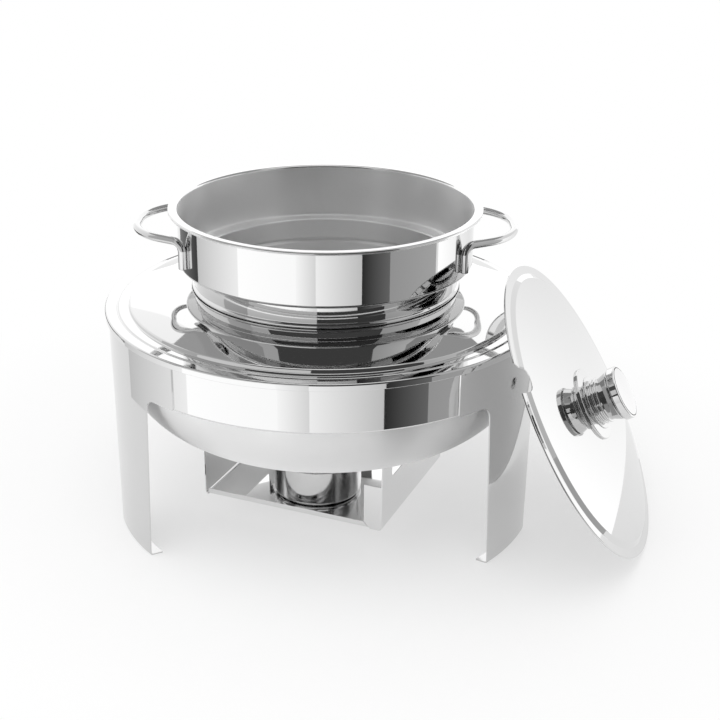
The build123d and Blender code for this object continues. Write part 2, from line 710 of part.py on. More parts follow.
def build():
    """Every node of the dish by name, as one solid or a list of equal solids."""
    nodes = {"support_band": make_band(), "water_pan": make_water_pan(), "cover_plate": make_cover_plate()}
    for name, turn in LEG_TURNS.items():
        nodes[name] = make_leg(turn)
    nodes["food_pan"] = make_food_pan()
    nodes["right_handle"] = make_handle(HANDLE_TURN)
    nodes["left_handle"] = make_handle(HANDLE_TURN + 180)
    lean = lid_place()
    nodes["lid_shell"] = lean * make_lid_shell()
    nodes["knob_flange"] = lean * make_knob_flange()
    nodes["knob_neck"] = lean * make_knob_neck()
    nodes["knob_cap"] = lean * make_knob_cap()
    nodes["knob_washer"] = lean * make_knob_washer()
    nodes["knob_screw"] = lean * make_knob_screw()
    tray = Rot(0, 0, TRAY_TURN)
    nodes["burner_tray"] = tray * make_tray()
    nodes["tray_studs"] = [tray * stud for stud in make_studs()]
    nodes["tray_washers"] = [tray * washer for washer in make_stud_washers()]
    nodes["tray_nuts"] = [tray * nut for nut in make_nuts()]
    burner = tray * Pos(BURNER_SIDE, BURNER_DEPTH, 0)
    nodes["burner_cup"] = burner * make_burner_cup()
    nodes["burner_cover"] = burner * make_burner_cover()
    nodes["damper_disc"] = burner * make_damper()
    nodes["damper_rivet"] = burner * make_rivet()
    return nodes


os.makedirs("parts", exist_ok=True)
for node, shape in build().items():
    if isinstance(shape, list):
        shape = Compound(children=shape)
    export_step(shape, f"parts/{node}.step")
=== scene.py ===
"""Looks, studio and camera of the chafing dish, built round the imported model.

Sections and outlines are in millimetres, as in the model's own source, and are scaled when a mesh is made.
"""
from math import atan2, ceil, cos, pi, radians, sin, sqrt, tan

import bpy
from mathutils import Matrix, Vector


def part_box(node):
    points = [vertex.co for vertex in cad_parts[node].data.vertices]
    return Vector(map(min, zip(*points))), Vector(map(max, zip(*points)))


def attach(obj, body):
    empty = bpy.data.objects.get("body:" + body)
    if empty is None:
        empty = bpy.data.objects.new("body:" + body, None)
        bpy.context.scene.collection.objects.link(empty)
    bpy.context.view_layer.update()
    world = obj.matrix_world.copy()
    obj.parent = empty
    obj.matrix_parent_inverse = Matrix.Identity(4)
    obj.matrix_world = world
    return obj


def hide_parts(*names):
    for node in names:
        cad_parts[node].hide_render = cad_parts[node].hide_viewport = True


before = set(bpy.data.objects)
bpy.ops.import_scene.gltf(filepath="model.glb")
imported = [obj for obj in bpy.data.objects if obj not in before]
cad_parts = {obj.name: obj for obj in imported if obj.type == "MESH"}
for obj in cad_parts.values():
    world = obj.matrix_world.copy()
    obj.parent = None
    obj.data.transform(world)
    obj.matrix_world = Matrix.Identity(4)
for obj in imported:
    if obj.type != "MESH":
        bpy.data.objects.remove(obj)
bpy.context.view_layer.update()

MILLIMETRE = 0.001
IN_PLACE = Matrix.Identity(4)

# Fineness of the meshes: steps of bends in degrees and of wide arcs in millimetres, then counts
BEND_STEP = 9.0
ROD_BEND_STEP = 4.5
ARC_STEP = 3.0
FEWEST_BEND_STEPS = 2
FEWEST_ROD_STEPS = 3
WIDE_SEGMENTS = 240
SMALL_SEGMENTS = 120
EDGE_STEPS = 6
ROD_SEGMENTS = 32
ROD_END_STEPS = 4
LEG_CORNER_STEPS = 5
LEG_ARCH_STEPS = 12
LEG_SHAFT_STEPS = 12
LEG_COLUMNS = 24
LEG_SIDE_COLUMNS = 6
CAP_STEPS = 14
NOTCH_HALVINGS = 30

# Tolerances: nearness of a point to the axis, nearness of two heights, and size of a face that is left out
ON_AXIS = 0.15
LEVEL = 0.015
NO_AREA = 1e-9

# Stand
LEG_RADIUS = 208.0
LEG_SHEET = 1.3
LEG_TURNS = {"left_leg": 207.0, "right_leg": 327.0, "rear_leg": 87.0}
LEG_HEIGHT = 206.2
LEG_HALF_FOOT = 37.9
LEG_HALF_TOP = 45.37
LEG_HALF_HEAD = 81.61
LEG_ARCH_RADIUS = 12.0
LEG_HEAD_CORNER = 2.5
FOOT_DEPTH = 12.0
FOOT_BEND = 1.4
BAND_RADIUS = LEG_RADIUS - LEG_SHEET
BAND_SHEET = 1.0
BAND_BOTTOM = 165.0
BAND_TOP = 210.9
BAND_HEM = 4.2
BAND_HEM_BEND = 1.0

# Water pan
WATER_SHEET = 1.0
WATER_RADIUS = 202.6
WATER_FLANGE_RADIUS = 207.9
WATER_FLANGE_BEND = 2.0
WATER_BOTTOM = 92.7
WATER_CORNER = 85.0

# Cover plate
COVER_SHEET = 0.8
COVER_RADIUS = 211.0
COVER_TOP = 213.0
COVER_LIP_BOTTOM = 206.6
COVER_LIP_BEND = 1.0
COVER_GROOVE_RADIUS = 199.2
COVER_GROOVE_HALF = 1.7
COVER_GROOVE_DEPTH = 1.7
COVER_GROOVE_BEND = 0.6
COVER_STEP_RADIUS = 188.0
COVER_STEP_RUN = 1.0
COVER_STEP_RISE = 3.5
COVER_STEP_BEND = 0.8
COVER_STEP_TOP_BEND = 1.4
COVER_CROWN_RADIUS = 148.0
COVER_CROWN_BEND = 111.0
COVER_HOLE_RADIUS = 126.9
COVER_HOLE_TOP = 229.2
COVER_COLLAR = 6.0
COVER_COLLAR_BEND = 1.7

# Food pan
PAN_SHEET = 0.8
PAN_RIM_RADIUS = 148.0
PAN_RIM_TOP = 306.4
PAN_RIM_LIP = 2.6
PAN_RIM_LIP_BEND = 0.6
PAN_RIM_BEND = 1.8
PAN_WALL_RADIUS = 139.8
PAN_SHOULDER = 252.3
PAN_SHOULDER_BEND = 2.6
PAN_NECK_RADIUS = 126.0
PAN_NECK_BEND = 1.2
PAN_BEAD_RADIUS = 129.0
PAN_BEAD_HALF = 2.8
PAN_BEAD_BEND = 1.6
PAN_BEAD_HEIGHT = 230.6
PAN_FLOOR = 128.0
PAN_FLOOR_RADIUS = 123.5
PAN_FLOOR_BEND = 16.0

# Pan handles
HANDLE_ROD = 3.75
HANDLE_TURNS = {"right_handle": -2.0, "left_handle": 178.0}
HANDLE_FOOT_ANGLE = 26.3
HANDLE_FOOT_FLAT = 0.35
HANDLE_FOOT_BOTTOM = 261.0
HANDLE_HEIGHT = 286.5
HANDLE_REACH = 177.5
HANDLE_CORNER_SIDE = 36.0
HANDLE_FOOT_BEND = 9.0
HANDLE_LOOP_BEND = 52.0
HANDLE_END_ROUND = 0.6

# Lid and knob, in the lid's own frame with the rim's top face at height 0
LID_RADIUS = 147.2
LID_SHEET = 0.8
LID_LIP = 1.6
LID_LIP_BEND = 0.35
LID_RIM_INSIDE = 138.0
LID_RIM_BEND = 1.4
LID_SHOULDER_RADIUS = 132.9
LID_SHOULDER_BEND = 1.6
LID_DOME_START = 129.0
LID_DOME_FOOT = 3.3
LID_DOME_TOP = 12.4
LID_DOME_STEP = 6.0
LID_RING_STEP = 0.7
LID_HOLE = 2.8
LID_NOTCH_TURN = 143.6
LID_NOTCH_END = 126.9
LID_NOTCH_END_HALF = 9.3
LID_NOTCH_MOUTH_HALF = 17.4
LID_NOTCH_MOUTH = 160.0
LID_NOTCH_CORNER = 9.0
LID_TILT = 30.1
LID_TURN = -17.0
LID_REACH = 252.5
LID_REACH_TURN = -17.4
FLOOR_GAP = 0.2
KNOB_FLANGE_RADIUS = 35.2
KNOB_FLANGE_EDGE = 1.6
KNOB_FLANGE_HEIGHT = 3.3
KNOB_FLANGE_EDGE_BEND = 1.2
KNOB_FLANGE_TOP_BEND = 1.0
KNOB_RING_RADIUS = 26.0
KNOB_RING_HEIGHT = 1.5
KNOB_RING_FOOT_BEND = 0.5
KNOB_RING_BEND = 0.9
KNOB_NECK_RADIUS = 20.5
KNOB_NECK_BEND = 0.4
KNOB_BEAD_RADIUS = 22.2
KNOB_BEAD_HEIGHT = 2.3
KNOB_BEAD_GAP = 1.7
KNOB_BEAD_COUNT = 2
KNOB_BEAD_BEND = 1.0
KNOB_BEAD_FOOT_BEND = 0.2
KNOB_FLARE_RADIUS = 24.0
KNOB_FLARE_HEIGHT = 9.6
KNOB_FLARE_BEND = 3.0
KNOB_FLARE_EDGE_BEND = 0.7
KNOB_GROOVE_RADIUS = 21.5
KNOB_GROOVE_HEIGHT = 1.4
KNOB_GROOVE_BEND = 0.3
KNOB_CAP_RADIUS = 25.6
KNOB_CAP_HEIGHT = 7.4
KNOB_CAP_CROWN = 2.8
KNOB_CAP_EDGE = 1.2
KNOB_SHARP = 0.15

# Burner cup
CUP_RADIUS = 43.3
CUP_HEIGHT = 35.7
CUP_SHEET = 0.7
CUP_CORNER = 3.5
CUP_FOOT_RADIUS = 36.0
CUP_FOOT_RISE = 1.5
CUP_FOOT_BEND = 1.0
CUP_FLOOR_BEND = 1.2

# Camera, in metres and degrees
CAMERA_PLACE = (0.00241, -1.23758, 0.66936)
CAMERA_DOWN = 22.91
CAMERA_YAW = 1.44
CAMERA_ROLL = 0.56
CAMERA_LENS = 68.015
SENSOR = 36.0

# Steel: patches of wear and a fine grain; the grooves of spun steel run round, and its highlight lies across
# them, a quarter turn away
WEAR_SCALE = 14
WEAR_DETAIL = 4
WEAR_LOW = 0.35
WEAR_HIGH = 0.65
GRAIN_SCALE = 1400
GRAIN_DETAIL = 2
GRAIN_DEPTH = 0.0001
ACROSS_GROOVES = 0.25

# Light and floor, in metres and watts; tones and glows are shares of white
FILL_LIGHT = 0.75
LAMP_PLACE = (-0.35, -0.5, 1.7)
LAMP_SIZE = 1.6
LAMP_POWER = 12
FLOOR_HALF = 6.0
FLOOR_TONE = 0.93
FLOOR_ROUGHNESS = 0.9
FLOOR_FADE_START = 0.25
FLOOR_FADE_END = 0.6
FLOOR_NEAR_GLOW = 0.5

# Curved studio panels round the object: name, start and end in degrees from the front towards the right,
# lower and upper edge in metres, and the glow at the start and at the end
PANEL_RADIUS = 0.47
PANEL_STEP = 2.0
PANELS = (
    ("left_flag", -135, -101, 0.07, 0.195, 0.25, 0.06),
    ("left_fill", -101, -60, 0, 0.195, 0.74, 1.2),
    ("soft_box", -60, -19, 0, 0.195, 1.42, 1.35),
    ("front_left", -19, -6.4, 0, 0.195, 1.3, 0.92),
    ("front_right", -6.4, 23, 0, 0.195, 1.2, 0.71),
    ("right_flag", 23, 42, 0, 0.195, 0.03, 0.17),
    ("right_grey", 42, 80, 0, 0.195, 0.4, 0.5),
    ("right_rear", 82, 128, 0, 0.36, 1.45, 1.0),
    ("left_white", -135, -84, 0.195, 0.62, 1.25, 0.95),
    ("upper_left", -84, -60, 0.195, 0.62, 0.6, 0.5),
    ("left_grey", -135, -60, 0.62, 1.3, 0.42, 0.42),
    ("upper_soft", -60, -6.4, 0.195, 0.42, 0.8, 0.7),
    ("front_dark", -6.4, 44, 0.195, 0.42, 0.06, 0.06),
    ("left_high", -60, -45, 0.42, 1.3, 0.6, 0.6),
    ("front_high", -45, 44, 0.42, 1.3, 0.08, 0.08),
    ("right_upper", 44, 80, 0.195, 1.3, 0.5, 0.7),
    ("rear_white", 128, 225, 0.22, 0.62, 1.4, 1.4),
    ("rear_grey", 80, 225, 0.62, 1.3, 0.37, 0.37),
)


def bent_line(points, radii):
    """Points along a line with rounded corners, each as place and left-hand normal."""
    line = []
    start = Vector(points[0])
    for corner, after, radius in zip(points[1:], points[2:], radii):
        corner = Vector(corner)
        before_run = (corner - start).normalized()
        after_run = (Vector(after) - corner).normalized()
        turn = before_run.angle_signed(after_run)
        side = -1 if turn > 0 else 1
        reach = radius * tan(abs(turn) / 2)
        left = Vector((-before_run.y, before_run.x))
        if not line:
            line.append((start, left))
        middle = corner - before_run * reach + left * side * radius
        fine_steps = max(ceil(abs(turn) / radians(BEND_STEP)), ceil(abs(turn) * radius / ARC_STEP))
        steps = max(FEWEST_BEND_STEPS, fine_steps)
        for step in range(steps + 1):
            normal = Matrix.Rotation(side * abs(turn) * step / steps, 2) @ left
            line.append((middle - normal * side * radius, normal))
        start = corner + after_run * reach
    end = Vector(points[-1])
    run = (end - start).normalized()
    left = Vector((-run.y, run.x))
    if not line:
        line.append((Vector(points[0]), left))
    line.append((end, left))
    return line


def face_radii(points, bends, sheet):
    """Bend radii on the face that has the sheet on its right, from the radii inside the bends."""
    given = []
    for (x0, y0), (x1, y1), (x2, y2), bend in zip(points, points[1:], points[2:], bends):
        turns_left = (x1 - x0) * (y2 - y1) > (y1 - y0) * (x2 - x1)
        given.append(bend if turns_left else bend + sheet)
    return given


def shortened(points, amount):
    """The same line with its first point moved along by the amount, unless it starts on the axis."""
    first = Vector(points[0])
    if first.x < ON_AXIS:
        return points
    run = (Vector(points[1]) - first).normalized()
    return [tuple(first + run * amount)] + points[1:]


def round_edge(place, normal, sheet):
    """Half circle round the edge of a sheet, from its given face to its other one."""
    ahead = Vector((normal.y, -normal.x))
    middle = place - normal * sheet / 2
    edge = []
    for step in range(1, EDGE_STEPS):
        angle = pi * step / EDGE_STEPS
        outward = normal * cos(angle) + ahead * sin(angle)
        edge.append((middle + outward * sheet / 2, outward))
    return edge


def sheet_loop(points, bends, sheet):
    """Closed line round a bent sheet, and how many of its points lie on the given face.

    The sheet's ends are rounded, apart from one that lies on the axis.
    """
    points = shortened(points, sheet / 2)
    points = shortened(points[::-1], sheet / 2)[::-1]
    given = bent_line(points, face_radii(points, bends, sheet))
    other = [(place - normal * sheet, -normal) for place, normal in reversed(given)]
    loop = list(given)
    if given[-1][0].x > ON_AXIS:
        loop += round_edge(*given[-1], sheet)
    loop += other
    if other[-1][0].x > ON_AXIS:
        loop += round_edge(*other[-1], sheet)
    return loop, len(given)


def make_piece(name, shape, node, body, looks, face_looks=None, shift=IN_PLACE):
    """A mesh piece with exact normals that stands for a CAD node, moved from its own axis to its place."""
    places, normals, faces = shape
    own = [place * MILLIMETRE for place in places]
    turn = shift.to_3x3()
    mesh = bpy.data.meshes.new(name)
    mesh.from_pydata([shift @ place for place in own], [], faces)
    mesh.shade_smooth()
    mesh.normals_split_custom_set_from_vertices([turn @ normal for normal in normals])
    own_place = mesh.attributes.new("own_place", "FLOAT_VECTOR", "POINT")
    own_place.data.foreach_set("vector", [value for place in own for value in place])
    for look in looks:
        mesh.materials.append(look)
    if face_looks:
        mesh.polygons.foreach_set("material_index", face_looks)
    piece = bpy.data.objects.new(name, mesh)
    bpy.context.scene.collection.objects.link(piece)
    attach(piece, body)
    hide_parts(node)


def turned(loop, segments, open_line=False):
    """A line turned about the axis: places, normals, faces and each face's row.

    Points on the axis become poles.
    """
    places = []
    normals = []
    rows = []
    for place, normal in loop:
        if place.x < ON_AXIS:
            rows.append([len(places)] * segments)
            places.append(Vector((0, 0, place.y)))
            normals.append(Vector((0, 0, 1 if normal.y > 0 else -1)))
            continue
        rows.append(list(range(len(places), len(places) + segments)))
        for segment in range(segments):
            angle = 2 * pi * segment / segments
            places.append(Vector((place.x * cos(angle), place.x * sin(angle), place.y)))
            normals.append(Vector((normal.x * cos(angle), normal.x * sin(angle), normal.y)))
    faces = []
    row_of_face = []
    count = len(rows) - 1 if open_line else len(rows)
    for row in range(count):
        near = rows[row]
        far = rows[(row + 1) % len(rows)]
        for segment in range(segments):
            after = (segment + 1) % segments
            face = list(dict.fromkeys((near[segment], far[segment], far[after], near[after])))
            faces.append(face)
            row_of_face.append(row)
    return places, normals, facing(places, normals, faces), row_of_face


def facing(places, normals, faces):
    """The faces, each wound so that it faces the way its normals point."""
    wound = []
    for face in faces:
        a, b, c = (places[index] for index in face[:3])
        across = (b - a).cross(c - a)
        outward = sum((normals[index] for index in face), Vector((0, 0, 0)))
        wound.append(face if across.dot(outward) >= 0 else face[::-1])
    return wound


def pressed_piece(
    node, body, section, outside, segments=WIDE_SEGMENTS, inside=None, inside_top=0, shift=IN_PLACE
):
    """A sheet of the given points, bends and thickness, turned about its axis.

    A second look may be given for its other face, below a height.
    """
    loop, given = sheet_loop(*section)
    on_axis = loop[given - 1][0].x < ON_AXIS
    if on_axis:
        loop = loop[given:] + loop[:given]
    other_face = len(loop) - given
    places, normals, faces, rows = turned(loop, segments, on_axis)
    looks = [outside]
    face_looks = None
    if inside:
        looks.append(inside)
        face_looks = [1 if row < other_face and loop[row + 1][0].y < inside_top else 0 for row in rows]
    shape = (places, normals, faces)
    make_piece(node + "_pressed", shape, node, body, looks, face_looks, shift)


def turned_piece(node, body, points, bends, look, shift):
    """A turned solid from a section that starts and ends on its axis."""
    loop = bent_line(points, bends)
    places, normals, faces, _ = turned(loop, SMALL_SEGMENTS, True)
    make_piece(node + "_turned", (places, normals, faces), node, body, [look], shift=shift)


def add_node(tree, kind, **settings):
    """A shader node with the given settings."""
    node = tree.nodes.new(kind)
    for key, value in settings.items():
        setattr(node, key, value)
    return node


def steel(name, tone, smooth, worn, grain, ringed=False, brushed=0.0):
    """Steel whose roughness wanders between two values, with a fine grain, in rings where it was spun."""
    look = bpy.data.materials.new(name)
    look.use_nodes = True
    tree = look.node_tree
    shader = tree.nodes["Principled BSDF"]
    shader.inputs["Base Color"].default_value = (tone, tone, tone, 1)
    shader.inputs["Metallic"].default_value = 1
    coords = add_node(tree, "ShaderNodeTexCoord").outputs["Object"]
    wear = add_node(tree, "ShaderNodeTexNoise")
    wear.inputs["Scale"].default_value = WEAR_SCALE
    wear.inputs["Detail"].default_value = WEAR_DETAIL
    tree.links.new(coords, wear.inputs["Vector"])
    spread = add_node(tree, "ShaderNodeMapRange")
    spread.inputs["From Min"].default_value = WEAR_LOW
    spread.inputs["From Max"].default_value = WEAR_HIGH
    spread.inputs["To Min"].default_value = smooth
    spread.inputs["To Max"].default_value = worn
    tree.links.new(wear.outputs["Fac"], spread.inputs["Value"])
    tree.links.new(spread.outputs["Result"], shader.inputs["Roughness"])
    lines = coords
    if ringed:
        own = add_node(tree, "ShaderNodeAttribute", attribute_name="own_place").outputs["Vector"]
        flat = add_node(tree, "ShaderNodeVectorMath", operation="MULTIPLY")
        flat.inputs[1].default_value = (1, 1, 0)
        tree.links.new(own, flat.inputs[0])
        radius = add_node(tree, "ShaderNodeVectorMath", operation="LENGTH")
        tree.links.new(flat.outputs["Vector"], radius.inputs[0])
        parts = add_node(tree, "ShaderNodeSeparateXYZ")
        tree.links.new(own, parts.inputs["Vector"])
        ring = add_node(tree, "ShaderNodeCombineXYZ")
        tree.links.new(radius.outputs["Value"], ring.inputs["X"])
        tree.links.new(parts.outputs["Z"], ring.inputs["Y"])
        lines = ring.outputs["Vector"]
    fine = add_node(tree, "ShaderNodeTexNoise")
    fine.inputs["Scale"].default_value = GRAIN_SCALE
    fine.inputs["Detail"].default_value = GRAIN_DETAIL
    tree.links.new(lines, fine.inputs["Vector"])
    bump = add_node(tree, "ShaderNodeBump")
    bump.inputs["Strength"].default_value = grain
    bump.inputs["Distance"].default_value = GRAIN_DEPTH
    tree.links.new(fine.outputs["Fac"], bump.inputs["Height"])
    tree.links.new(bump.outputs["Normal"], shader.inputs["Normal"])
    if brushed:
        shader.inputs["Anisotropic"].default_value = brushed
        tangent = add_node(tree, "ShaderNodeTangent", direction_type="RADIAL", axis="Z")
        tree.links.new(tangent.outputs["Tangent"], shader.inputs["Tangent"])
        shader.inputs["Anisotropic Rotation"].default_value = ACROSS_GROOVES
    return look


MIRROR_SPUN = steel("mirror_spun", tone=0.7, smooth=0.02, worn=0.05, grain=0.008, ringed=True)
MIRROR_SHEET = steel("mirror_sheet", tone=0.64, smooth=0.03, worn=0.07, grain=0.008)
SATIN_SPUN = steel("satin_spun", tone=0.84, smooth=0.38, worn=0.46, grain=0.03, ringed=True, brushed=0.9)
PAN_INSIDE = steel("pan_inside", tone=0.9, smooth=0.36, worn=0.46, grain=0.03, ringed=True, brushed=0.9)
SATIN_FLAT = steel("satin_flat", tone=0.64, smooth=0.24, worn=0.34, grain=0.05)
CUP_SPUN = steel("cup_spun", tone=0.66, smooth=0.1, worn=0.17, grain=0.02, ringed=True)
TRAY_FOLDED = steel("tray_folded", tone=0.78, smooth=0.03, worn=0.06, grain=0.01)
FASTENER = steel("fastener", tone=0.56, smooth=0.25, worn=0.42, grain=0.08)


def dome_radius():
    """Radius of the lid's dome."""
    rise = LID_DOME_TOP - LID_DOME_FOOT
    return (LID_DOME_START**2 + rise**2) / (2 * rise)


def lid_place():
    """Where the lid leans, as a matrix in metres."""
    tilt = radians(LID_TILT)
    turn = radians(LID_TURN)
    reach_turn = radians(LID_REACH_TURN)
    height = LID_RADIUS * cos(tilt) + LID_LIP * sin(tilt) + FLOOR_GAP
    centre = Vector((LID_REACH * cos(reach_turn), LID_REACH * sin(reach_turn), height)) * MILLIMETRE
    outward = Vector((cos(tilt) * cos(turn), cos(tilt) * sin(turn), sin(tilt)))
    across = Vector((-sin(turn), cos(turn), 0))
    axes = Matrix((across, outward.cross(across), outward)).transposed()
    return Matrix.Translation(centre) @ axes.to_4x4()


def make_band():
    """Upright band with its lower edge turned in."""
    face = [(BAND_RADIUS, BAND_TOP), (BAND_RADIUS, BAND_BOTTOM), (BAND_RADIUS - BAND_HEM, BAND_BOTTOM)]
    section = (face, [BAND_HEM_BEND], BAND_SHEET)
    pressed_piece("support_band", "stand", section, MIRROR_SPUN)


def make_water_pan():
    """Deep pan with a round bottom corner and a flange on the band."""
    face = [
        (WATER_FLANGE_RADIUS, BAND_TOP),
        (WATER_RADIUS, BAND_TOP),
        (WATER_RADIUS, WATER_BOTTOM),
        (0, WATER_BOTTOM),
    ]
    section = (face, [WATER_FLANGE_BEND, WATER_CORNER], WATER_SHEET)
    pressed_piece("water_pan", "stand", section, SATIN_SPUN)


def make_cover_plate():
    """Pressed ring: lip, locating groove, step, crown and a collar round the hole."""
    low_top = COVER_TOP - COVER_SHEET
    crown_top = COVER_HOLE_TOP - COVER_SHEET
    face = [
        (COVER_RADIUS - COVER_SHEET, COVER_LIP_BOTTOM),
        (COVER_RADIUS - COVER_SHEET, low_top),
        (COVER_GROOVE_RADIUS + COVER_GROOVE_HALF, low_top),
        (COVER_GROOVE_RADIUS, low_top - COVER_GROOVE_DEPTH),
        (COVER_GROOVE_RADIUS - COVER_GROOVE_HALF, low_top),
        (COVER_STEP_RADIUS, low_top),
        (COVER_STEP_RADIUS - COVER_STEP_RUN, low_top + COVER_STEP_RISE),
        (COVER_CROWN_RADIUS, crown_top),
        (COVER_HOLE_RADIUS + COVER_SHEET, crown_top),
        (COVER_HOLE_RADIUS + COVER_SHEET, COVER_HOLE_TOP - COVER_COLLAR),
    ]
    bends = [COVER_LIP_BEND] + [COVER_GROOVE_BEND] * 3
    bends += [COVER_STEP_BEND, COVER_STEP_TOP_BEND, COVER_CROWN_BEND, COVER_COLLAR_BEND]
    pressed_piece("cover_plate", "cover", (face, bends, COVER_SHEET), MIRROR_SPUN)


def make_food_pan():
    """Pan with a turned-down rim, a shouldered wall and a beaded neck, polished outside and satin inside."""
    under_rim = PAN_RIM_TOP - PAN_SHEET
    lip_inside = PAN_RIM_RADIUS - PAN_SHEET
    face = [
        (lip_inside, PAN_RIM_TOP - PAN_RIM_LIP),
        (lip_inside, under_rim),
        (PAN_WALL_RADIUS, under_rim),
        (PAN_WALL_RADIUS, PAN_SHOULDER),
        (PAN_NECK_RADIUS, PAN_SHOULDER),
        (PAN_NECK_RADIUS, PAN_BEAD_HEIGHT + PAN_BEAD_HALF),
        (PAN_BEAD_RADIUS, PAN_BEAD_HEIGHT),
        (PAN_NECK_RADIUS, PAN_BEAD_HEIGHT - PAN_BEAD_HALF),
        (PAN_FLOOR_RADIUS, PAN_FLOOR),
        (0, PAN_FLOOR),
    ]
    upper_bends = [PAN_RIM_LIP_BEND, PAN_RIM_BEND, PAN_SHOULDER_BEND, PAN_NECK_BEND]
    bead_bends = [PAN_NECK_BEND, PAN_BEAD_BEND, PAN_NECK_BEND]
    section = (face, upper_bends + bead_bends + [PAN_FLOOR_BEND], PAN_SHEET)
    top = PAN_RIM_TOP - PAN_RIM_BEND
    pressed_piece("food_pan", "pan", section, MIRROR_SPUN, inside=PAN_INSIDE, inside_top=top)


def make_burner_cup():
    """Fuel cup with a rounded foot and a raised floor, turned about its own axis."""
    low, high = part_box("burner_cup")
    centre = (low + high) / 2
    foot = low.z / MILLIMETRE
    face = [
        (CUP_RADIUS, foot + CUP_HEIGHT),
        (CUP_RADIUS, foot),
        (CUP_FOOT_RADIUS, foot),
        (CUP_FOOT_RADIUS - CUP_FOOT_RISE, foot + CUP_FOOT_RISE),
        (0, foot + CUP_FOOT_RISE),
    ]
    section = (face, [CUP_CORNER, CUP_FOOT_BEND, CUP_FLOOR_BEND], CUP_SHEET)
    shift = Matrix.Translation((centre.x, centre.y, 0))
    pressed_piece("burner_cup", "burner", section, CUP_SPUN, SMALL_SEGMENTS, shift=shift)


def leg_half_width(height):
    """Half width of a leg's shaft, with the arch under its head."""
    rise = min(height, BAND_BOTTOM) / BAND_BOTTOM
    width = LEG_HALF_FOOT + (LEG_HALF_TOP - LEG_HALF_FOOT) * rise
    below = BAND_BOTTOM - height
    if below < LEG_ARCH_RADIUS:
        drop = LEG_ARCH_RADIUS - max(below, 0)
        width += LEG_ARCH_RADIUS - sqrt(max(LEG_ARCH_RADIUS**2 - drop**2, 0))
    return width


def head_half_width(height):
    """Half width of a leg's head, with its lower corner rounded."""
    short = max(LEG_HEAD_CORNER - (height - BAND_BOTTOM), 0)
    return LEG_HALF_HEAD - LEG_HEAD_CORNER + sqrt(LEG_HEAD_CORNER**2 - short**2)


def leg_rows():
    """Points down a leg's outer face, from its top edge to the inner edge of its foot, with normals."""
    points = [(LEG_RADIUS, LEG_HEIGHT), (LEG_RADIUS, 0), (LEG_RADIUS - FOOT_DEPTH, 0)]
    line = bent_line(points, [FOOT_BEND + LEG_SHEET])
    heights = [LEG_HEIGHT, (LEG_HEIGHT + BAND_BOTTOM) / 2]
    for step in range(LEG_CORNER_STEPS + 1):
        heights.append(BAND_BOTTOM + LEG_HEAD_CORNER * (1 - sin(pi / 2 * step / LEG_CORNER_STEPS)))
    for step in range(1, LEG_ARCH_STEPS + 1):
        heights.append(BAND_BOTTOM - LEG_ARCH_RADIUS * (1 - cos(pi / 2 * step / LEG_ARCH_STEPS)))
    low = line[1][0].y
    shaft_top = heights[-1]
    heights += [shaft_top + (low - shaft_top) * step / LEG_SHAFT_STEPS for step in range(1, LEG_SHAFT_STEPS)]
    outward = Vector((1, 0))
    return [(Vector((LEG_RADIUS, height)), outward) for height in heights] + line[1:]


def leg_sides(rows, head_rows):
    """How far to the side each point of each row of a leg lies; the rows of the head are longer."""
    sides = []
    for index, (place, _) in enumerate(rows):
        inner = leg_half_width(max(place.y, 0))
        row = [inner * (2 * column / LEG_COLUMNS - 1) for column in range(LEG_COLUMNS + 1)]
        if index < head_rows:
            wing = (head_half_width(place.y) - inner) / LEG_SIDE_COLUMNS
            extra = [inner + wing * step for step in range(1, LEG_SIDE_COLUMNS + 1)]
            row = [-value for value in reversed(extra)] + row + extra
        sides.append(row)
    return sides


def make_leg(node, turn):
    """One sheet leg rolled to the stand's radius: shaft, wide head, turned-in foot."""
    rows = leg_rows()
    head_rows = sum(1 for place, _ in rows if place.y >= BAND_BOTTOM - LEVEL)
    sides = leg_sides(rows, head_rows)
    places = []
    normals = []
    starts = []
    turn_matrix = Matrix.Rotation(radians(turn), 3, "Z")
    for face_sign in (1, -1):
        starts.append([])
        for (place, normal), row in zip(rows, sides):
            spot = place if face_sign > 0 else place - normal * LEG_SHEET
            starts[-1].append(len(places))
            for side in row:
                depth = sqrt(spot.x**2 - side**2)
                places.append(turn_matrix @ Vector((depth, side, spot.y)))
                tilt = Vector((normal.x * depth / spot.x, normal.x * side / spot.x, normal.y))
                normals.append(turn_matrix @ (tilt * face_sign))
    faces = []
    for start in starts:
        for row in range(len(rows) - 1):
            skipped = LEG_SIDE_COLUMNS if row == head_rows - 1 else 0
            width = min(len(sides[row]), len(sides[row + 1]))
            for column in range(width - 1):
                a = start[row] + column + skipped
                b = start[row + 1] + column
                faces.append([a, b, b + 1, a + 1])
    rim = leg_rim(sides, head_rows)
    for (row, column), (next_row, next_column) in zip(rim, rim[1:] + rim[:1]):
        corners = [
            starts[0][row] + column,
            starts[0][next_row] + next_column,
            starts[1][next_row] + next_column,
            starts[1][row] + column,
        ]
        spots = [places[index] for index in corners]
        normal = (spots[1] - spots[0]).cross(spots[3] - spots[0]).normalized()
        faces.append(list(range(len(places), len(places) + 4)))
        places += spots
        normals += [normal] * 4
    shape = (places, normals, facing(places, normals, faces))
    make_piece(node + "_rolled", shape, node, "stand", [MIRROR_SHEET])


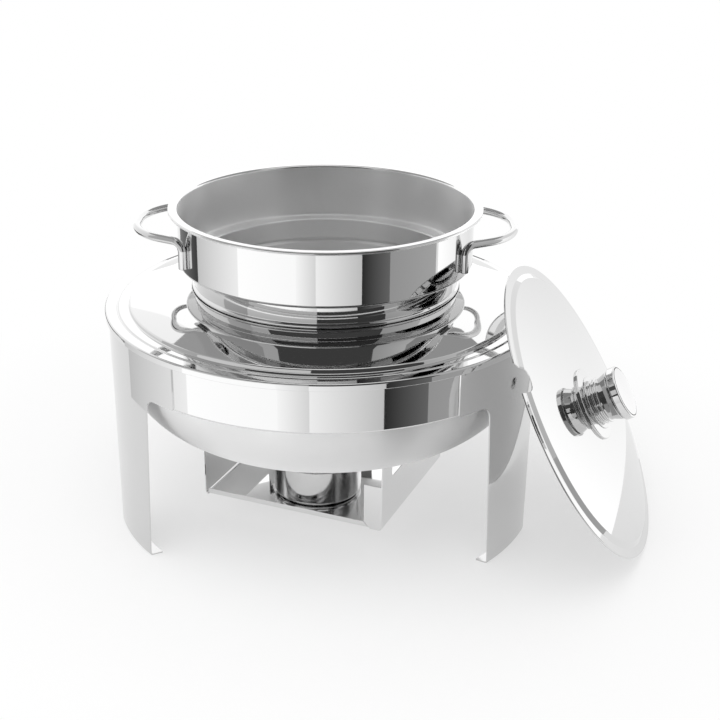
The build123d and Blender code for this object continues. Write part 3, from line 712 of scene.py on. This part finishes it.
def leg_rim(sides, head_rows):
    """Row and column of each point round a leg's outline."""
    last = len(sides) - 1
    right = [(row, len(sides[row]) - 1) for row in range(head_rows)]
    head_end = len(sides[head_rows - 1]) - 1
    right += [(head_rows - 1, head_end - step) for step in range(1, LEG_SIDE_COLUMNS + 1)]
    right += [(row, len(sides[row]) - 1) for row in range(head_rows, last + 1)]
    foot = [(last, column) for column in range(len(sides[last]) - 2, 0, -1)]
    left = [(row, 0) for row in range(last, head_rows - 1, -1)]
    left += [(head_rows - 1, step) for step in range(LEG_SIDE_COLUMNS, 0, -1)]
    left += [(row, 0) for row in range(head_rows - 1, -1, -1)]
    top = [(0, column) for column in range(1, len(sides[0]) - 1)]
    return right + foot + left + top


def bent_route(points, radii):
    """Places and directions along a route in space with rounded corners."""
    route = [(Vector(points[0]), (Vector(points[1]) - Vector(points[0])).normalized())]
    for before, corner, after, radius in zip(points, points[1:], points[2:], radii):
        corner = Vector(corner)
        before_run = (corner - Vector(before)).normalized()
        after_run = (Vector(after) - corner).normalized()
        turn = before_run.angle(after_run)
        axis = before_run.cross(after_run).normalized()
        middle = corner - before_run * radius * tan(turn / 2) + axis.cross(before_run) * radius
        steps = max(FEWEST_ROD_STEPS, ceil(turn / radians(ROD_BEND_STEP)))
        for step in range(steps + 1):
            run = Matrix.Rotation(turn * step / steps, 3, axis) @ before_run
            route.append((middle - axis.cross(run) * radius, run))
    route.append((Vector(points[-1]), (Vector(points[-1]) - Vector(points[-2])).normalized()))
    return route


def make_handle(node, turn):
    """Bent rod: two upright feet against the pan's wall and a level loop."""
    foot_radius = PAN_WALL_RADIUS + HANDLE_ROD - HANDLE_FOOT_FLAT
    foot_x = foot_radius * cos(radians(HANDLE_FOOT_ANGLE))
    foot_y = foot_radius * sin(radians(HANDLE_FOOT_ANGLE))
    points = [
        (foot_x, -foot_y, HANDLE_FOOT_BOTTOM),
        (foot_x, -foot_y, HANDLE_HEIGHT),
        (HANDLE_REACH, -HANDLE_CORNER_SIDE, HANDLE_HEIGHT),
        (HANDLE_REACH, HANDLE_CORNER_SIDE, HANDLE_HEIGHT),
        (foot_x, foot_y, HANDLE_HEIGHT),
        (foot_x, foot_y, HANDLE_FOOT_BOTTOM),
    ]
    route = bent_route(points, [HANDLE_FOOT_BEND, HANDLE_LOOP_BEND, HANDLE_LOOP_BEND, HANDLE_FOOT_BEND])
    turn_matrix = Matrix.Rotation(radians(turn), 3, "Z")
    side = Vector((1, 0, 0))
    rings = []
    ends = (0, len(route) - 1)
    for index, (place, run) in enumerate(route):
        side = (side - run * side.dot(run)).normalized()
        other = run.cross(side)
        ring = []
        for segment in range(ROD_SEGMENTS):
            angle = 2 * pi * segment / ROD_SEGMENTS
            ring.append(side * cos(angle) + other * sin(angle))
        if index == ends[0]:
            rings += rod_end(place, -run, ring)
        if index not in ends:
            rings.append([(place + outward * HANDLE_ROD, outward) for outward in ring])
        if index == ends[1]:
            rings += rod_end(place, run, ring)[::-1]
    places = [turn_matrix @ place for ring in rings for place, _ in ring]
    normals = [turn_matrix @ normal for ring in rings for _, normal in ring]
    faces = []
    for row in range(len(rings) - 1):
        for segment in range(ROD_SEGMENTS):
            after = (segment + 1) % ROD_SEGMENTS
            a = row * ROD_SEGMENTS
            b = a + ROD_SEGMENTS
            faces.append([a + segment, b + segment, b + after, a + after])
    last = (len(rings) - 1) * ROD_SEGMENTS
    faces.append(list(range(ROD_SEGMENTS)))
    faces.append(list(range(last, last + ROD_SEGMENTS)))
    shape = (places, normals, facing(places, normals, faces))
    make_piece(node + "_rod", shape, node, "pan", [MIRROR_SHEET])


def rod_end(place, outward, ring):
    """Rings over the rounded end of a rod, from its flat face to its side."""
    flat = HANDLE_ROD - HANDLE_END_ROUND
    rings = [[(place + side * flat, outward) for side in ring]]
    for step in range(1, ROD_END_STEPS + 1):
        angle = pi / 2 * step / ROD_END_STEPS
        level = place - outward * HANDLE_END_ROUND * (1 - cos(angle))
        reach = flat + HANDLE_END_ROUND * sin(angle)
        rings.append([(level + side * reach, side * sin(angle) + outward * cos(angle)) for side in ring])
    return rings


def notch_line():
    """One side of the lid's notch, from its mouth to the middle of its end."""
    points = [
        (LID_NOTCH_MOUTH, LID_NOTCH_MOUTH_HALF),
        (LID_NOTCH_END, LID_NOTCH_END_HALF),
        (LID_NOTCH_END, 0),
    ]
    return [place for place, _ in bent_line(points, [LID_NOTCH_CORNER])]


def notch_angle(radius, line):
    """Half angle of the notch at a distance from the lid's axis."""
    for outer, inner in zip(line, line[1:]):
        far = outer.length
        near = inner.length
        if near <= radius <= far and far > near:
            low = 0.0
            high = 1.0
            for _ in range(NOTCH_HALVINGS):
                share = (low + high) / 2
                spot = inner.lerp(outer, share)
                if spot.length < radius:
                    low = share
                else:
                    high = share
            spot = inner.lerp(outer, (low + high) / 2)
            return atan2(spot.y, spot.x)
    return 0.0


def lid_profile():
    """The lid's upper face from the screw hole to the lip, as places and upward normals."""
    ball = dome_radius()
    slope = LID_DOME_START / sqrt(ball**2 - LID_DOME_START**2)
    shoulder = LID_DOME_FOOT - (LID_SHOULDER_RADIUS - LID_DOME_START) * slope
    profile = []
    radius = LID_HOLE
    while radius < LID_DOME_START:
        drop = sqrt(ball**2 - radius**2)
        profile.append((Vector((radius, LID_DOME_TOP - ball + drop)), Vector((radius / ball, drop / ball))))
        radius += LID_DOME_STEP
    points = [
        (LID_DOME_START, LID_DOME_FOOT),
        (LID_SHOULDER_RADIUS, shoulder),
        (LID_RIM_INSIDE, 0),
        (LID_RADIUS, 0),
        (LID_RADIUS, LID_SHEET / 2 - LID_LIP),
    ]
    bends = [LID_SHOULDER_BEND, LID_RIM_BEND, LID_LIP_BEND]
    profile += bent_line(points, face_radii(points, bends, LID_SHEET))
    return fine_rings(profile)


def fine_rings(profile):
    """The same profile with rings close together where the notch is cut."""
    fine = [profile[0]]
    for (place, normal), (next_place, next_normal) in zip(profile, profile[1:]):
        reach = (next_place - place).length
        steps = ceil(reach / LID_RING_STEP) if next_place.x > LID_NOTCH_END else 1
        for step in range(1, steps + 1):
            share = step / steps
            fine.append((place.lerp(next_place, share), normal.lerp(next_normal, share).normalized()))
    return fine


def make_lid():
    """Pressed lid whose rings open into the utensil notch."""
    line = notch_line()
    upper = lid_profile()
    lower = [(place - normal * LID_SHEET, -normal) for place, normal in upper]
    edge = round_edge(*upper[-1], LID_SHEET)
    rings = upper + edge + lower[::-1]
    segments = WIDE_SEGMENTS
    places = []
    normals = []
    for place, normal in rings:
        half = notch_angle(place.x, line)
        for segment in range(segments + 1):
            angle = radians(LID_NOTCH_TURN) + half + (2 * pi - 2 * half) * segment / segments
            places.append(Vector((place.x * cos(angle), place.x * sin(angle), place.y)))
            normals.append(Vector((normal.x * cos(angle), normal.x * sin(angle), normal.y)))
    width = segments + 1
    faces = []
    for row in range(len(rings)):
        near = row * width
        far = (row + 1) % len(rings) * width
        for segment in range(segments):
            faces.append([near + segment, far + segment, far + segment + 1, near + segment + 1])
    first_open = next(i for i, (place, _) in enumerate(upper) if notch_angle(place.x, line) > 0) - 1
    last = len(rings) - 1
    for column in (0, segments):
        for row in range(first_open, len(upper) - 1):
            quad = [row * width + column, (row + 1) * width + column]
            quad += [(last - row - 1) * width + column, (last - row) * width + column]
            add_flat_face(places, normals, faces, quad, column == 0)
        cap = [row * width + column for row in range(len(upper) - 1, len(upper) + len(edge) + 1)]
        add_flat_face(places, normals, faces, cap, column == 0)
    shape = (places, normals, facing(places, normals, faces))
    shift = lid_place()
    make_piece("lid_shell_pressed", shape, "lid_shell", "lid", [MIRROR_SPUN], shift=shift)


def add_flat_face(places, normals, faces, corners, turned_round):
    """A face of its own on the places of existing points, flat across a sheet's cut edge."""
    spots = [places[index] for index in corners]
    normal = (spots[1] - spots[0]).cross(spots[2] - spots[0])
    if normal.length < NO_AREA:
        return
    normal.normalize()
    if turned_round:
        normal = -normal
    faces.append(list(range(len(places), len(places) + len(spots))))
    places += spots
    normals += [normal] * len(spots)


def make_knob():
    """Knob in three pieces on the lid's axis: flange on the dome, beaded neck and crowned cap."""
    shift = lid_place()
    bottom = LID_DOME_TOP + KNOB_FLANGE_HEIGHT
    neck, neck_bends, cap_bottom = knob_neck_section(bottom)
    bends = [KNOB_SHARP, KNOB_FLANGE_EDGE_BEND, KNOB_FLANGE_TOP_BEND]
    flange = knob_flange_section(bottom)
    turned_piece("knob_flange", "lid", flange, bends, MIRROR_SPUN, shift)
    turned_piece("knob_neck", "lid", neck, neck_bends, MIRROR_SPUN, shift)
    places, normals, faces, _ = turned(knob_cap_line(cap_bottom), SMALL_SEGMENTS, True)
    cap = (places, normals, faces)
    make_piece("knob_cap_turned", cap, "knob_cap", "lid", [MIRROR_SPUN], shift=shift)


def knob_flange_section(top):
    """Section of the low cone on the dome."""
    dome_edge = LID_DOME_TOP - dome_radius() + sqrt(dome_radius() ** 2 - KNOB_FLANGE_RADIUS**2)
    return [
        (0, LID_DOME_TOP),
        (KNOB_FLANGE_RADIUS, dome_edge),
        (KNOB_FLANGE_RADIUS, LID_DOME_TOP + KNOB_FLANGE_EDGE),
        (KNOB_RING_RADIUS, top),
        (0, top),
    ]


def knob_neck_section(bottom):
    """Section of the neck, its bends and the height where the cap starts."""
    neck = [
        (0, bottom),
        (KNOB_RING_RADIUS, bottom),
        (KNOB_RING_RADIUS, bottom + KNOB_RING_HEIGHT),
        (KNOB_NECK_RADIUS, bottom + KNOB_RING_HEIGHT),
    ]
    bends = [KNOB_RING_FOOT_BEND, KNOB_RING_BEND, KNOB_NECK_BEND]
    level = bottom + KNOB_RING_HEIGHT + KNOB_BEAD_GAP
    for _ in range(KNOB_BEAD_COUNT):
        neck += [
            (KNOB_NECK_RADIUS, level),
            (KNOB_BEAD_RADIUS, level),
            (KNOB_BEAD_RADIUS, level + KNOB_BEAD_HEIGHT),
            (KNOB_NECK_RADIUS, level + KNOB_BEAD_HEIGHT),
        ]
        bends += [KNOB_BEAD_FOOT_BEND, KNOB_BEAD_BEND, KNOB_BEAD_BEND, KNOB_BEAD_FOOT_BEND]
        level += KNOB_BEAD_HEIGHT + KNOB_BEAD_GAP
    cap_bottom = level + KNOB_FLARE_HEIGHT + KNOB_GROOVE_HEIGHT
    neck += [
        (KNOB_NECK_RADIUS, level),
        (KNOB_FLARE_RADIUS, level + KNOB_FLARE_HEIGHT),
        (KNOB_GROOVE_RADIUS, level + KNOB_FLARE_HEIGHT),
        (KNOB_GROOVE_RADIUS, cap_bottom),
        (0, cap_bottom),
    ]
    bends += [KNOB_FLARE_BEND, KNOB_FLARE_EDGE_BEND, KNOB_GROOVE_BEND, KNOB_SHARP]
    return neck, bends, cap_bottom


def knob_cap_line(bottom):
    """Line round the cap: flat under face, rounded edges and a crowned face to the axis."""
    top = bottom + KNOB_CAP_HEIGHT
    shoulder = KNOB_CAP_RADIUS - 2 * KNOB_CAP_EDGE
    points = [
        (0, bottom),
        (KNOB_CAP_RADIUS, bottom),
        (KNOB_CAP_RADIUS, top),
        (shoulder, top + KNOB_CAP_EDGE / 2),
    ]
    line = bent_line(points, [KNOB_CAP_EDGE, KNOB_CAP_EDGE])[:-1]
    rise = KNOB_CAP_CROWN - KNOB_CAP_EDGE / 2
    ball = (shoulder**2 + rise**2) / (2 * rise)
    middle = top + KNOB_CAP_CROWN - ball
    for step in range(CAP_STEPS + 1):
        radius = shoulder * (1 - step / CAP_STEPS)
        drop = sqrt(ball**2 - radius**2)
        line.append((Vector((radius, middle + drop)), Vector((radius / ball, drop / ball))))
    return line


def dress_cad_nodes():
    """Looks of the CAD nodes that are shown as they are."""
    looks = {
        "burner_tray": TRAY_FOLDED,
        "burner_cover": SATIN_FLAT,
        "damper_disc": SATIN_FLAT,
        "damper_rivet": FASTENER,
        "tray_studs": FASTENER,
        "tray_washers": FASTENER,
        "tray_nuts": FASTENER,
        "knob_washer": FASTENER,
        "knob_screw": FASTENER,
    }
    for node, look in looks.items():
        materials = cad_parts[node].data.materials
        materials.clear()
        materials.append(look)


def seen_directly(tree):
    """1 for rays from the camera, from mirrors and through glass, 0 for others."""
    path = add_node(tree, "ShaderNodeLightPath")
    total = path.outputs["Is Camera Ray"]
    for kind in ("Is Glossy Ray", "Is Transmission Ray"):
        both = add_node(tree, "ShaderNodeMath", operation="MAXIMUM")
        tree.links.new(total, both.inputs[0])
        tree.links.new(path.outputs[kind], both.inputs[1])
        total = both.outputs["Value"]
    return total


def make_world():
    """White all round where it is seen, and a soft fill light elsewhere."""
    world = bpy.data.worlds.new("studio")
    bpy.context.scene.world = world
    world.use_nodes = True
    tree = world.node_tree
    background = tree.nodes["Background"]
    background.inputs["Color"].default_value = (1, 1, 1, 1)
    strength = add_node(tree, "ShaderNodeMapRange")
    strength.inputs["To Min"].default_value = FILL_LIGHT
    strength.inputs["To Max"].default_value = 1.0
    tree.links.new(seen_directly(tree), strength.inputs["Value"])
    tree.links.new(strength.outputs["Result"], background.inputs["Strength"])


def make_floor():
    """Pale floor that keeps the object's shadow near it and fades to white far away."""
    mesh = bpy.data.meshes.new("floor")
    signs = ((-1, -1), (1, -1), (1, 1), (-1, 1))
    mesh.from_pydata([(x * FLOOR_HALF, y * FLOOR_HALF, 0) for x, y in signs], [], [(0, 1, 2, 3)])
    floor = bpy.data.objects.new("floor", mesh)
    bpy.context.scene.collection.objects.link(floor)
    look = bpy.data.materials.new("pale_floor")
    look.use_nodes = True
    tree = look.node_tree
    paint = tree.nodes["Principled BSDF"]
    paint.inputs["Base Color"].default_value = (FLOOR_TONE, FLOOR_TONE, FLOOR_TONE, 1)
    paint.inputs["Roughness"].default_value = FLOOR_ROUGHNESS
    glow = add_node(tree, "ShaderNodeEmission")
    glow.inputs["Strength"].default_value = 1
    place = add_node(tree, "ShaderNodeTexCoord")
    distance = add_node(tree, "ShaderNodeVectorMath", operation="LENGTH")
    tree.links.new(place.outputs["Object"], distance.inputs[0])
    fade = add_node(tree, "ShaderNodeMapRange", interpolation_type="SMOOTHSTEP")
    fade.inputs["From Min"].default_value = FLOOR_FADE_START
    fade.inputs["From Max"].default_value = FLOOR_FADE_END
    fade.inputs["To Min"].default_value = FLOOR_NEAR_GLOW
    fade.inputs["To Max"].default_value = 1
    tree.links.new(distance.outputs["Value"], fade.inputs["Value"])
    share = add_node(tree, "ShaderNodeMath", operation="MULTIPLY")
    tree.links.new(fade.outputs["Result"], share.inputs[0])
    tree.links.new(seen_directly(tree), share.inputs[1])
    mix = add_node(tree, "ShaderNodeMixShader")
    tree.links.new(share.outputs["Value"], mix.inputs[0])
    tree.links.new(paint.outputs["BSDF"], mix.inputs[1])
    tree.links.new(glow.outputs["Emission"], mix.inputs[2])
    tree.links.new(mix.outputs["Shader"], tree.nodes["Material Output"].inputs["Surface"])
    mesh.materials.append(look)


def make_panels():
    """Curved studio panels that only mirrors see."""
    look = bpy.data.materials.new("panel_glow")
    look.use_nodes = True
    tree = look.node_tree
    tree.nodes.remove(tree.nodes["Principled BSDF"])
    glow = add_node(tree, "ShaderNodeEmission")
    level = add_node(tree, "ShaderNodeAttribute", attribute_name="glow")
    tree.links.new(level.outputs["Fac"], glow.inputs["Strength"])
    tree.links.new(glow.outputs["Emission"], tree.nodes["Material Output"].inputs["Surface"])
    for name, start, end, low, high, first, last in PANELS:
        steps = ceil((end - start) / PANEL_STEP)
        places = []
        levels = []
        for step in range(steps + 1):
            share = step / steps
            angle = radians(start + (end - start) * share)
            for height in (low, high):
                places.append((PANEL_RADIUS * sin(angle), -PANEL_RADIUS * cos(angle), height))
                levels.append(first + (last - first) * share)
        faces = [(2 * step, 2 * step + 2, 2 * step + 3, 2 * step + 1) for step in range(steps)]
        mesh = bpy.data.meshes.new(name)
        mesh.from_pydata(places, [], faces)
        mesh.attributes.new("glow", "FLOAT", "POINT").data.foreach_set("value", levels)
        mesh.materials.append(look)
        panel = bpy.data.objects.new(name, mesh)
        bpy.context.scene.collection.objects.link(panel)
        panel.visible_camera = False
        panel.visible_diffuse = False
        panel.visible_transmission = False
        panel.visible_shadow = False


def make_lamp():
    """One large soft lamp over the object, a little to the front and left."""
    data = bpy.data.lights.new("key", "AREA")
    data.shape = "DISK"
    data.size = LAMP_SIZE
    data.energy = LAMP_POWER
    lamp = bpy.data.objects.new("key", data)
    bpy.context.scene.collection.objects.link(lamp)
    place = Vector(LAMP_PLACE)
    lamp.location = place
    lamp.rotation_euler = (-place).to_track_quat("-Z", "Y").to_euler()
    lamp.visible_glossy = False


def make_camera():
    """Camera at the photograph's angle."""
    down = radians(CAMERA_DOWN)
    yaw = radians(CAMERA_YAW)
    roll = radians(CAMERA_ROLL)
    level = Vector((sin(yaw), cos(yaw), 0))
    right = Vector((cos(yaw), -sin(yaw), 0))
    upright = Vector((0, 0, 1))
    ahead = level * cos(down) - upright * sin(down)
    up = level * sin(down) + upright * cos(down)
    rolled_right = right * cos(roll) + up * sin(roll)
    rolled_up = up * cos(roll) - right * sin(roll)
    axes = Matrix((rolled_right, rolled_up, -ahead)).transposed()
    data = bpy.data.cameras.new("camera")
    data.sensor_width = SENSOR
    data.lens = CAMERA_LENS
    camera = bpy.data.objects.new("camera", data)
    bpy.context.scene.collection.objects.link(camera)
    camera.matrix_world = Matrix.Translation(CAMERA_PLACE) @ axes.to_4x4()
    bpy.context.scene.camera = camera


make_band()
make_water_pan()
make_cover_plate()
make_food_pan()
make_burner_cup()
for leg, leg_turn in LEG_TURNS.items():
    make_leg(leg, leg_turn)
for handle, handle_turn in HANDLE_TURNS.items():
    make_handle(handle, handle_turn)
make_lid()
make_knob()
dress_cad_nodes()
make_world()
make_floor()
make_panels()
make_lamp()
make_camera()
bpy.context.scene.view_settings.view_transform = "Standard"
